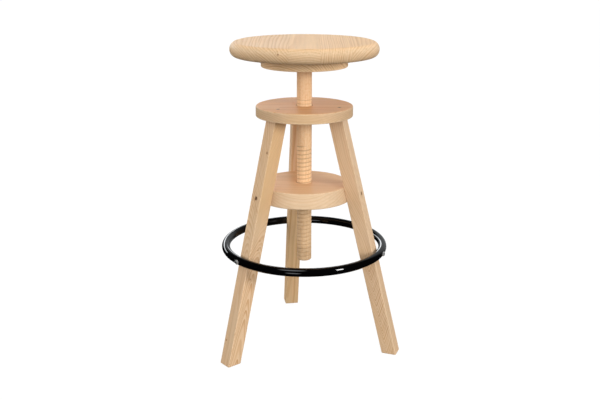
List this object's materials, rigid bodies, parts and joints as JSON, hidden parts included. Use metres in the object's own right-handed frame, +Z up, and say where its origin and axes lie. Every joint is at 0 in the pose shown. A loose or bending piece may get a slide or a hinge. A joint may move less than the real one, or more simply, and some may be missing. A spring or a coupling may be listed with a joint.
{
  "type": "adjustable bar stool",
  "caption": "Height-adjustable pine bar stool: round seat on a wooden screw spindle, nut and guide discs on splayed square legs, and a black tubular footrest ring.",
  "frame": {"origin": "on the spindle's axis at the floor, between the three feet", "axes": "+Z up along the spindle; +Y towards the back leg; the other legs stand at 210 and 330 degrees from +X"},
  "size_m": [0.4466, 0.4533, 0.756],
  "materials": {
    "leg_pine": "satin clear lacquer on straight-grained pine",
    "disc_pine": "satin clear lacquer on flat-sawn pine",
    "spindle_pine": "waxed turned pine, thread cut into it",
    "seat_pine": "satin clear lacquer on edge-glued pine staves",
    "ring_black": "gloss black stoved enamel on steel tube",
    "dark_screw": "browned steel wood screw",
    "bright_screw": "bright zinc-plated steel"
  },
  "bodies": {
    "frame": {"leg_back": "leg_pine", "leg_left": "leg_pine", "leg_right": "leg_pine", "guide_disc": "disc_pine", "nut_disc": "disc_pine", "footrest_ring": "ring_black", "leg_screws": "dark_screw", "guide_disc_screws": "dark_screw", "ring_screws": "bright_screw"},
    "lift": {"spindle_screw": "bright_screw"},
    "seat": {"spindle": "spindle_pine", "seat_plate": "disc_pine", "plate_screws": "dark_screw", "seat_stave_1": "seat_pine", "seat_stave_2": "seat_pine", "seat_stave_3": "seat_pine", "seat_stave_4": "seat_pine", "seat_stave_5": "seat_pine"}
  },
  "joints": [
    {"name": "seat_rise", "type": "slide", "parent": "frame", "child": "lift", "axis": [0, 0, 1], "range_m": [-0.09, 0.12]},
    {"name": "seat_turn", "type": "hinge", "parent": "lift", "child": "seat", "pos_m": [0, 0, 0.5], "axis": [0, 0, 1], "range_deg": [-3240, 4320]}
  ],
  "couplings": [
    {"joint": "seat_rise", "follows": "seat_turn", "m_per_rad": 0.0015915}
  ]
}
